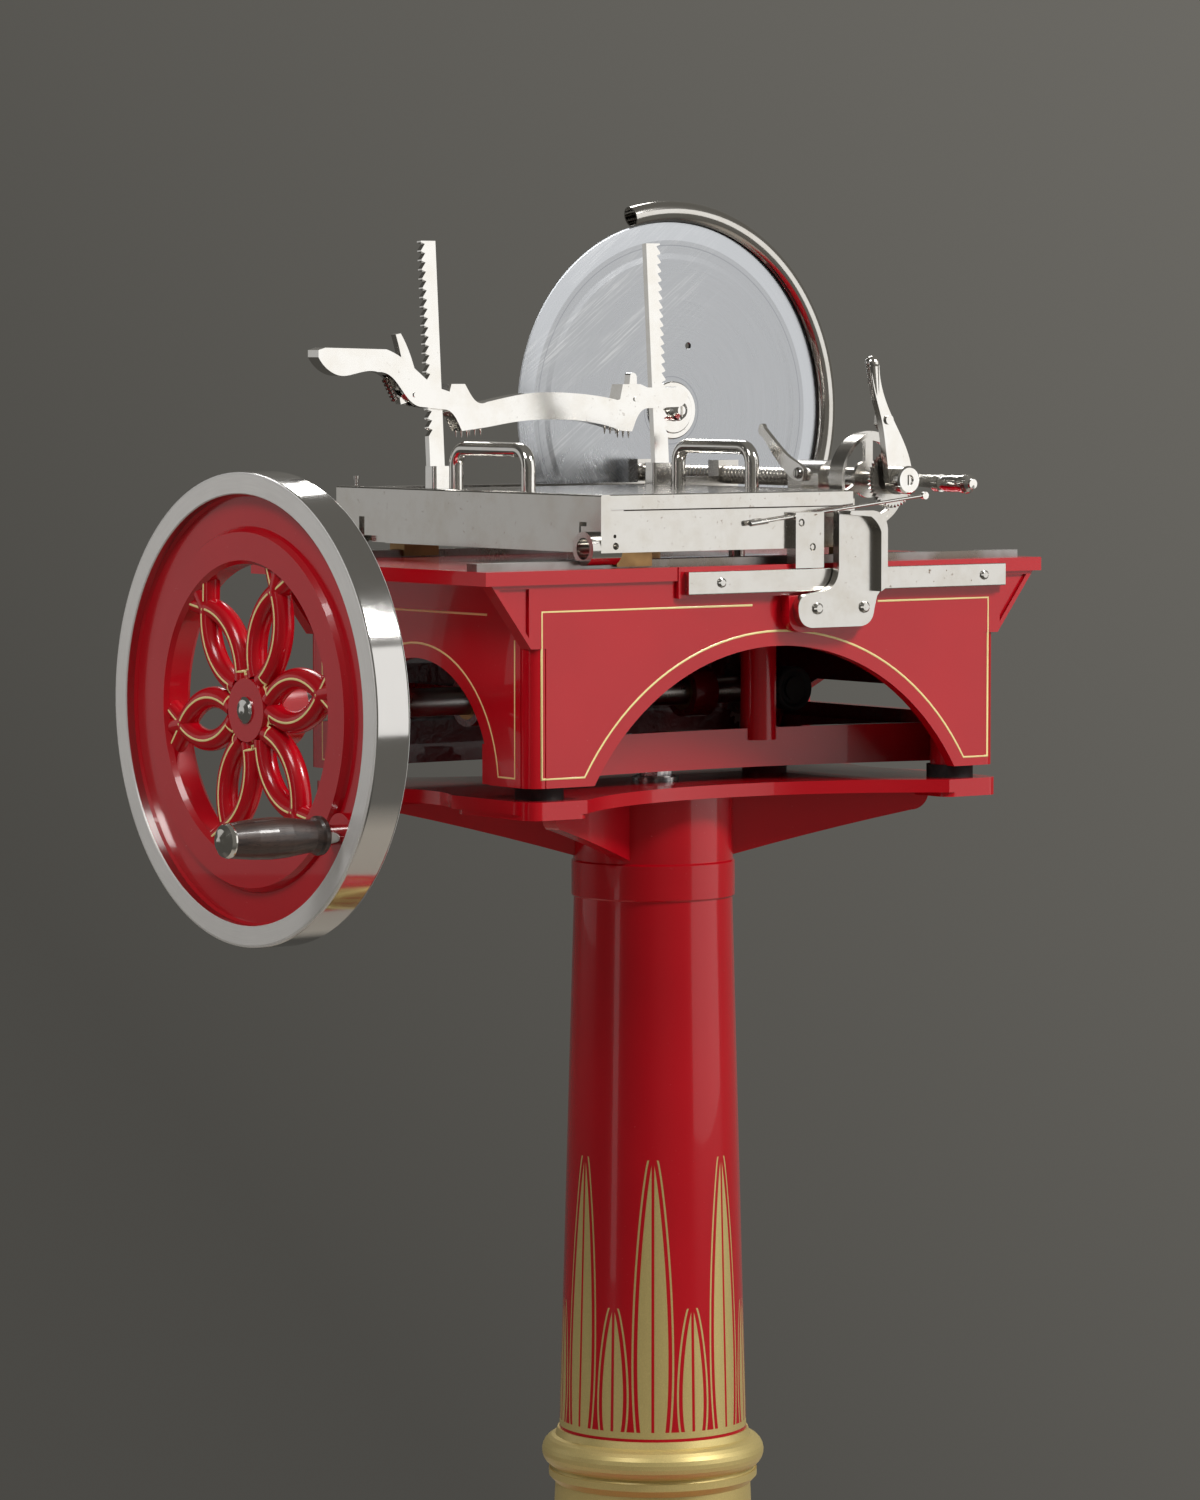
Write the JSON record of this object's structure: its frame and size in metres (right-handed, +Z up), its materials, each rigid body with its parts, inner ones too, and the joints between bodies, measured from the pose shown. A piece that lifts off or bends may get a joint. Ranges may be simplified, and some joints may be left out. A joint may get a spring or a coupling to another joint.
{
  "type": "hand cranked meat slicer",
  "caption": "Hand cranked slicer with a large flywheel, a round blade in a guard, a sliding carriage with toothed posts and a clamp, on a tall pedestal.",
  "frame": {"origin": "on the floor at the pedestal's axis", "axes": "+Z up, +X along the flywheel shaft away from the flywheel, +Y along the blade's axis towards the blade's back"},
  "size_m": [0.9166, 0.532, 1.3453],
  "materials": {
    "red_paint": "gloss",
    "gold": "polished",
    "rubber": "matte",
    "steel_bolts": "satin",
    "nickel": "polished",
    "steel": "satin",
    "blade_steel": "satin",
    "bronze": "satin",
    "wood": "lacquered"
  },
  "bodies": {
    "frame": {"pedestal_foot": "red_paint", "pedestal_ring": "gold", "pedestal_column": "red_paint", "pedestal_head": "red_paint", "rubber_pads": "rubber", "base_casting": "red_paint", "hex_bolts": "steel_bolts", "front_rail": "nickel", "striker_bracket": "nickel", "slotted_screws": "nickel", "slide_rails": "steel", "bronze_bushes": "bronze", "knife_bracket": "red_paint", "chain_cover": "red_paint", "drive_chain": "steel", "blade_guard": "nickel"},
    "flywheel_body": {"flywheel": "red_paint", "flywheel_rim": "steel", "flywheel_shaft": "steel", "hub_nut": "nickel", "crank_spindle": "nickel", "crank_drive_gear": "steel", "knife_drive_gear": "steel"},
    "grip_body": {"grip": "wood", "grip_cap": "nickel"},
    "crank_body": {"crank_disc": "steel", "crank_gear": "steel"},
    "cross_body": {"cross_shaft": "steel", "knife_pinion": "steel", "lower_sprocket": "steel"},
    "blade_body": {"blade": "blade_steel", "blade_hub_ring": "nickel", "blade_nut": "nickel", "blade_shaft": "steel", "upper_sprocket": "steel"},
    "carriage_body": {"carriage_frame": "nickel", "slide_shoes": "bronze", "guide_block": "nickel", "carriage_screws": "nickel", "actuating_rod": "nickel", "screw_housing": "nickel", "thickness_ring": "nickel"},
    "rod_body": {"connecting_rod": "steel"},
    "table_body": {"feed_table": "nickel", "grab_handles": "nickel", "rack_posts": "nickel", "post_sockets": "nickel", "feed_nut": "nickel"},
    "clamp_body": {"clamp_arm": "nickel", "clamp_pins": "nickel", "pawl_spring": "steel"},
    "clamp_pawl_body": {"clamp_pawl": "nickel"},
    "screw_body": {"feed_screw": "nickel", "ratchet_wheel": "nickel", "lever_cap": "nickel"},
    "lever_body": {"index_lever": "nickel"},
    "feed_pawl_body": {"feed_pawl": "nickel"},
    "feed_crank_body": {"feed_crank": "nickel"},
    "feed_knob_body": {"feed_knob": "nickel"},
    "release_lever_body": {"release_lever": "nickel"}
  },
  "joints": [
    {"name": "flywheel_spin", "type": "hinge", "parent": "frame", "child": "flywheel_body", "pos_m": [0, 0, 0.92], "axis": [1, 0, 0], "continuous": true},
    {"name": "grip_spin", "type": "hinge", "parent": "flywheel_body", "child": "grip_body", "pos_m": [-0.47, -0.13679, 0.82773], "axis": [1, 0, 0], "continuous": true},
    {"name": "crank_spin", "type": "hinge", "parent": "frame", "child": "crank_body", "pos_m": [-0.08, 0, 0.985], "axis": [0, 0, 1], "continuous": true},
    {"name": "cross_shaft_spin", "type": "hinge", "parent": "frame", "child": "cross_body", "pos_m": [0.131, 0, 0.92], "axis": [0, 1, 0], "continuous": true},
    {"name": "blade_spin", "type": "hinge", "parent": "frame", "child": "blade_body", "pos_m": [0.197, 0.236, 1.157], "axis": [0, 1, 0], "continuous": true},
    {"name": "carriage_slide", "type": "slide", "parent": "frame", "child": "carriage_body", "axis": [1, 0, 0], "range_m": [-0.11, 0.11]},
    {"name": "rod_swing", "type": "hinge", "parent": "carriage_body", "child": "rod_body", "pos_m": [0.09, 0, 1.005], "axis": [0, 0, 1], "range_deg": [-3, 78]},
    {"name": "table_feed", "type": "slide", "parent": "carriage_body", "child": "table_body", "axis": [0, 1, 0], "range_m": [0, 0.095]},
    {"name": "feed_screw_spin", "type": "hinge", "parent": "carriage_body", "child": "screw_body", "pos_m": [0.153, 0, 1.102], "axis": [0, 1, 0], "range_deg": [-3420, 0]},
    {"name": "index_lever_swing", "type": "hinge", "parent": "carriage_body", "child": "lever_body", "pos_m": [0.153, -0.142, 1.102], "axis": [0, 1, 0], "range_deg": [-20, 25]},
    {"name": "feed_pawl_swing", "type": "hinge", "parent": "lever_body", "child": "feed_pawl_body", "pos_m": [0.139, -0.136, 1.153], "axis": [0, 1, 0], "range_deg": [-8, 4]},
    {"name": "feed_crank_swing", "type": "hinge", "parent": "carriage_body", "child": "feed_crank_body", "pos_m": [0.153, -0.12, 1.102], "axis": [0, 1, 0], "range_deg": [-50, 50]},
    {"name": "feed_knob_spin", "type": "hinge", "parent": "feed_crank_body", "child": "feed_knob_body", "pos_m": [0.216, -0.145, 1.098], "axis": [0, 1, 0], "continuous": true},
    {"name": "release_lever_swing", "type": "hinge", "parent": "carriage_body", "child": "release_lever_body", "pos_m": [0.136, -0.03, 1.106], "axis": [1, 0, 0], "range_deg": [-10, 30]},
    {"name": "clamp_slide", "type": "slide", "parent": "table_body", "child": "clamp_body", "axis": [0, 0.0698, 0.9976], "range_m": [-0.04, 0.095]},
    {"name": "clamp_pawl_swing", "type": "hinge", "parent": "clamp_body", "child": "clamp_pawl_body", "pos_m": [-0.1785, 0.1063, 1.174], "axis": [0, 1, 0], "range_deg": [-8, 6]}
  ],
  "couplings": [
    {"joint": "crank_spin", "follows": "flywheel_spin", "ratio": 1},
    {"joint": "cross_shaft_spin", "follows": "flywheel_spin", "ratio": 1.5},
    {"joint": "blade_spin", "follows": "flywheel_spin", "ratio": 3},
    {"joint": "feed_screw_spin", "follows": "table_feed", "rad_per_m": -628.32}
  ]
}
